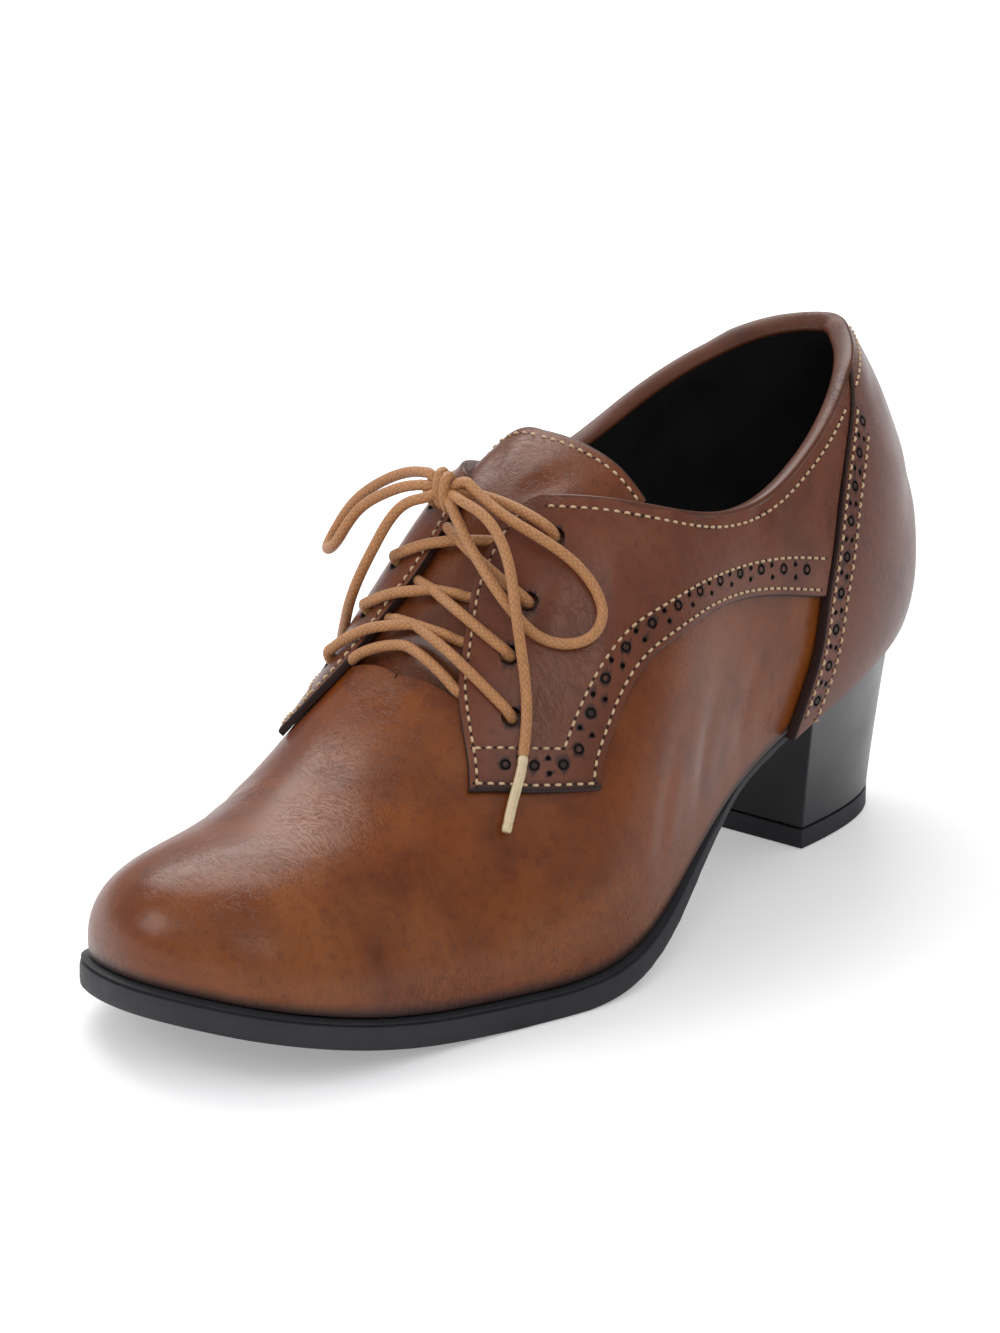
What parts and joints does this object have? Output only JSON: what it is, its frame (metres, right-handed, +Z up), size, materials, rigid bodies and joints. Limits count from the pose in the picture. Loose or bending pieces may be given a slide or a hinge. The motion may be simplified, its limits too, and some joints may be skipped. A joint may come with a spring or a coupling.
{
  "type": "heeled oxford shoe",
  "caption": "Women's lace-up shoe on a block heel: hollow upper, punched facings, counter, tongue, insole, thin sole, tied lace.",
  "frame": {"origin": "middle of the shoe's box, on the floor that the shoe stands on", "axes": "+Z up, toe towards -Y, heel towards +Y, lateral side of this left shoe towards +X"},
  "size_m": [0.0951, 0.2509, 0.1109],
  "materials": {
    "leather_vamp": "burnished brown leather with a semi gloss",
    "leather_quarter": "darker purplish brown leather with a semi gloss",
    "rubber_sole": "matt charcoal",
    "heel_cover": "satin near black",
    "lining": "matt black",
    "lace_cord": "waxed tan cord",
    "aglet": "clear straw tip over the cord"
  },
  "bodies": {
    "root": {"upper": "leather_vamp", "quarter_lateral": "leather_quarter", "quarter_medial": "leather_quarter", "counter": "leather_quarter", "tongue": "leather_quarter", "outsole": "rubber_sole", "insole": "lining", "heel": "heel_cover", "top_lift": "rubber_sole", "lace_bar": "lace_cord", "lace_cross_1": "lace_cord", "lace_cross_2": "lace_cord", "lace_cross_3": "lace_cord", "lace_knot": "lace_cord", "lace_loop_left": "lace_cord", "lace_loop_right": "lace_cord", "lace_end_left": "lace_cord", "lace_end_right": "lace_cord", "aglet_left": "aglet", "aglet_right": "aglet"}
  },
  "joints": []
}
